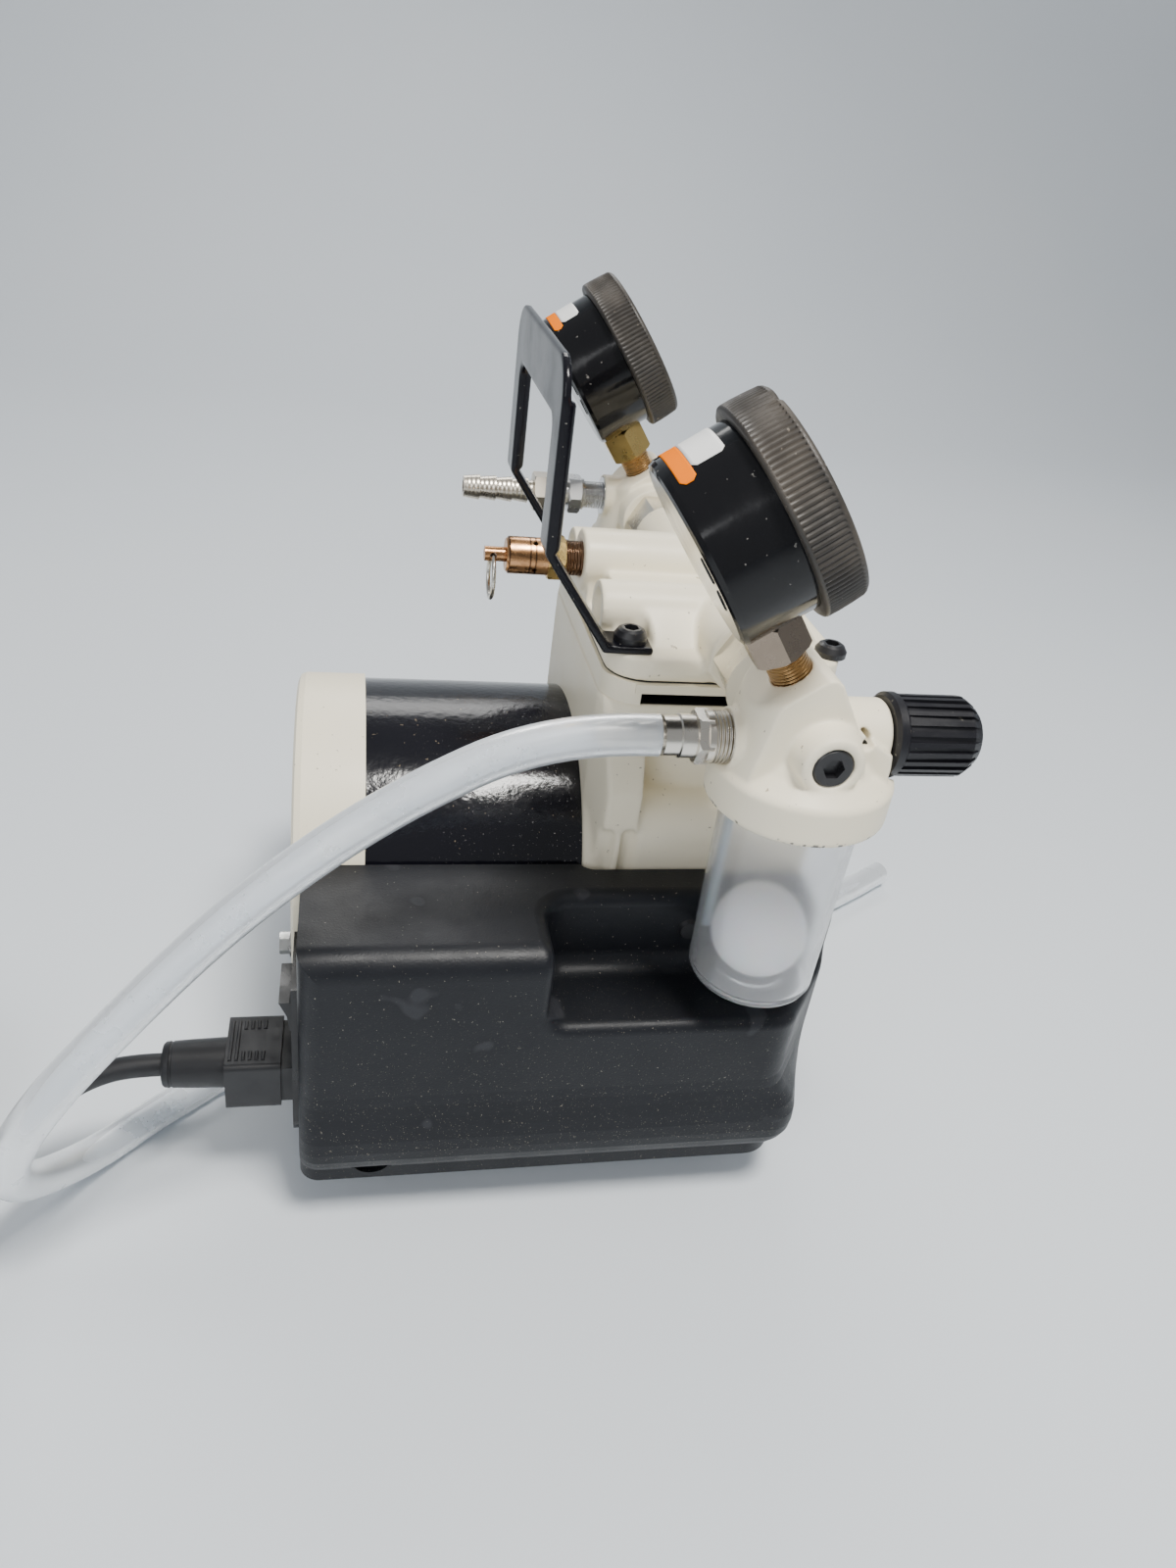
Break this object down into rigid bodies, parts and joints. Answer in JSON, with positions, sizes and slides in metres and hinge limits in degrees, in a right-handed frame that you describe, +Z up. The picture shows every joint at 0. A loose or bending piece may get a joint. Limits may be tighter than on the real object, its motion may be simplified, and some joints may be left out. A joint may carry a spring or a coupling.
{
  "type": "piston vacuum pump",
  "caption": "Oil-free piston vacuum and pressure pump on a moulded base, with regulators, gauges, trap jar, handle and hose.",
  "frame": {"origin": "on the bench surface, under the middle of the pump's own box, cord and hose left out", "axes": "+X forward along the motor shaft towards the knobs, +Y to the left, +Z up"},
  "size_m": [0.5782, 0.2697, 0.2946],
  "materials": {
    "base_plastic": "textured black",
    "black_rubber": "matt",
    "zinc_screw": "bright zinc",
    "black_screw": "black oxide",
    "plate_steel": "plain",
    "switch_plastic": "black",
    "capacitor_can": "black",
    "motor_black": "gloss black",
    "cream_paint": "satin cream",
    "core_steel": "laminated",
    "copper_wire": "enamelled",
    "rotor_metal": "machined",
    "shaft_steel": "ground",
    "cast_iron_grey": "machined",
    "rod_alloy": "cast",
    "seal_black": "moulded",
    "cup_white": "filled",
    "sleeve_alloy": "hard coated",
    "reed_steel": "spring steel",
    "handle_black": "gloss black",
    "brass_bright": "turned",
    "copper_brass": "warm turned",
    "nickel": "satin nickel",
    "knob_plastic": "ribbed black",
    "gauge_black": "gloss black",
    "bezel_black": "ribbed black",
    "gauge_glass": "clear",
    "dial_white": "printed white",
    "pointer_black": "black",
    "jar_clear": "frosted clear",
    "ball_white": "smooth white",
    "hose_clear": "milky clear",
    "cord_black": "black"
  },
  "bodies": {
    "pump": {"housing_right": "base_plastic", "housing_left": "base_plastic", "base_plate": "plate_steel", "rubber_feet": "black_rubber", "cover_screws": "black_screw", "isolation_mounts": "black_rubber", "power_entry": "switch_plastic", "run_capacitor": "capacitor_can", "motor_shell": "motor_black", "rear_end_cap": "cream_paint", "end_cap_screws": "zinc_screw", "stator_core": "core_steel", "stator_windings": "copper_wire", "motor_bearings": "shaft_steel", "crankcase": "cream_paint", "front_cover": "cream_paint", "cylinder_sleeve": "sleeve_alloy", "valve_plate": "cream_paint", "reed_valves": "reed_steel", "head_gasket": "seal_black", "cylinder_head": "cream_paint", "head_bolts": "black_screw", "carry_handle": "handle_black", "relief_valve_body": "copper_brass", "relief_spring": "reed_steel", "hex_nipples": "nickel", "vacuum_regulator_body": "cream_paint", "pressure_regulator_body": "cream_paint", "port_plugs": "black_screw", "gauge_stems": "brass_bright", "gauge_cases": "gauge_black", "gauge_bezels": "bezel_black", "gauge_lenses": "gauge_glass", "gauge_dials": "dial_white", "jar_seal": "seal_black", "bowl_cap": "nickel", "vacuum_barb": "nickel", "pressure_barb": "nickel", "vacuum_hose": "hose_clear", "iec_connector": "cord_black", "power_cord": "cord_black", "power_cord_coil": "cord_black", "mains_plug": "cord_black"},
    "switch": {"switch_rocker": "switch_plastic"},
    "shaft": {"rotor": "rotor_metal", "motor_shaft": "shaft_steel", "eccentric": "cast_iron_grey", "cooling_fan": "rotor_metal"},
    "rod": {"connecting_rod": "rod_alloy", "rod_bearing": "shaft_steel", "cup_retainer": "rod_alloy", "piston_cup": "cup_white"},
    "vacuum_knob": {"vacuum_knob": "knob_plastic"},
    "pressure_knob": {"pressure_knob": "knob_plastic"},
    "vacuum_pointer": {"vacuum_pointer": "pointer_black"},
    "pressure_pointer": {"pressure_pointer": "pointer_black"},
    "relief_stem": {"relief_stem": "brass_bright"},
    "pull_ring": {"pull_ring": "nickel"},
    "jar": {"trap_jar": "jar_clear"},
    "ball": {"float_ball": "ball_white"}
  },
  "joints": [
    {"name": "switch_rock", "type": "hinge", "parent": "pump", "child": "switch", "pos_m": [-0.0985, -0.0815, 0.079], "axis": [0, 1, 0], "range_deg": [0, 16]},
    {"name": "shaft_spin", "type": "hinge", "parent": "pump", "child": "shaft", "pos_m": [0, 0, 0.089], "axis": [1, 0, 0], "continuous": true},
    {"name": "rod_orbit", "type": "hinge", "parent": "shaft", "child": "rod", "pos_m": [0.043, 0, 0.0938], "axis": [1, 0, 0], "continuous": true, "deforming": ["piston_cup"]},
    {"name": "vacuum_knob_turn", "type": "hinge", "parent": "pump", "child": "vacuum_knob", "pos_m": [0.0746, -0.102, 0.1975], "axis": [1, 0, 0], "range_deg": [-900, 900]},
    {"name": "pressure_knob_turn", "type": "hinge", "parent": "pump", "child": "pressure_knob", "pos_m": [0.0746, 0.102, 0.1975], "axis": [1, 0, 0], "range_deg": [-900, 900]},
    {"name": "vacuum_needle", "type": "hinge", "parent": "pump", "child": "vacuum_pointer", "pos_m": [0.02857, -0.102, 0.26519], "axis": [-0.8221, 0, -0.5693], "range_deg": [0, 270], "stiffness_Nm_per_rad": 0.0005},
    {"name": "pressure_needle", "type": "hinge", "parent": "pump", "child": "pressure_pointer", "pos_m": [0.02857, 0.102, 0.26519], "axis": [-0.8221, 0, -0.5693], "range_deg": [0, 270], "stiffness_Nm_per_rad": 0.0005},
    {"name": "relief_pull", "type": "slide", "parent": "pump", "child": "relief_stem", "axis": [-1, 0, 0], "range_m": [0, 0.0012], "stiffness_N_per_m": 800},
    {"name": "ring_swing", "type": "hinge", "parent": "relief_stem", "child": "pull_ring", "pos_m": [-0.0338, 0, 0.211], "axis": [0, 1, 0], "range_deg": [-12, 90]},
    {"name": "jar_drop", "type": "slide", "parent": "pump", "child": "jar", "axis": [0, 0, -1], "range_m": [0, 0.007]},
    {"name": "float_rise", "type": "slide", "parent": "jar", "child": "ball", "axis": [0, 0, 1], "range_m": [0, 0.045]}
  ],
  "couplings": [
    {"joint": "rod_orbit", "follows": "shaft_spin", "ratio": -1}
  ]
}
